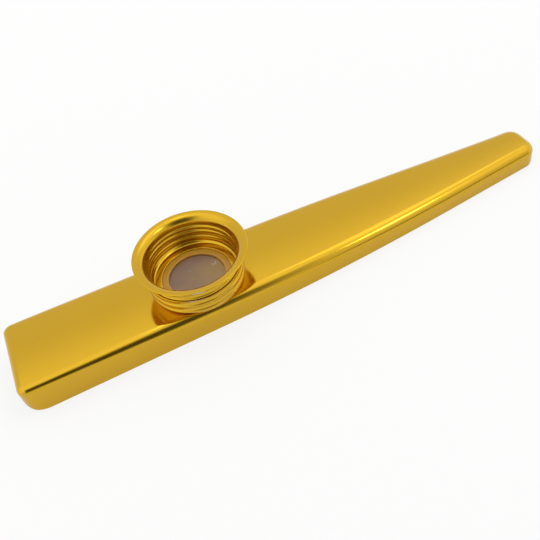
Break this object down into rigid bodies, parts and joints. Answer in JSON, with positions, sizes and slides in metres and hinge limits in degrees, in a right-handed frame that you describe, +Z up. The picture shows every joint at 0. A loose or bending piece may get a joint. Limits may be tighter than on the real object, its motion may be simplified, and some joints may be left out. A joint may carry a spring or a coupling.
{
  "type": "kazoo",
  "caption": "Flat tapered metal kazoo with a wind channel between two nested shells and a flared screw-in turret that clamps a buzzing membrane over a socket in its top.",
  "frame": {"origin": "centre of the overall box, on the flat bottom", "axes": "+X along the length from the mouth end to the outlet end, +Z up through the turret, -Y towards the viewer of the picture"},
  "size_m": [0.12, 0.0232, 0.0146],
  "materials": {
    "gold_shell": "bright dipped, gold anodised",
    "gold_turret": "spun and thread rolled, gold anodised",
    "clear_plastic": "clear, moulded",
    "film": "thin translucent film"
  },
  "bodies": {
    "body": {"upper_shell": "gold_shell", "lower_shell": "gold_shell", "socket": "gold_turret"},
    "membrane": {"membrane_ring": "clear_plastic", "membrane_film": "film"},
    "turret": {"turret": "gold_turret"}
  },
  "joints": [
    {"name": "turret_turn", "type": "hinge", "parent": "body", "child": "membrane", "pos_m": [-0.01983, 0, 0.00625], "axis": [0.0311, 0, 0.9995], "range_deg": [0, 540]},
    {"name": "turret_rise", "type": "slide", "parent": "membrane", "child": "turret", "axis": [0.0311, 0, 0.9995], "range_m": [0, 0.0024]}
  ],
  "couplings": [
    {"joint": "turret_rise", "follows": "turret_turn", "m_per_rad": 0.00025465}
  ]
}
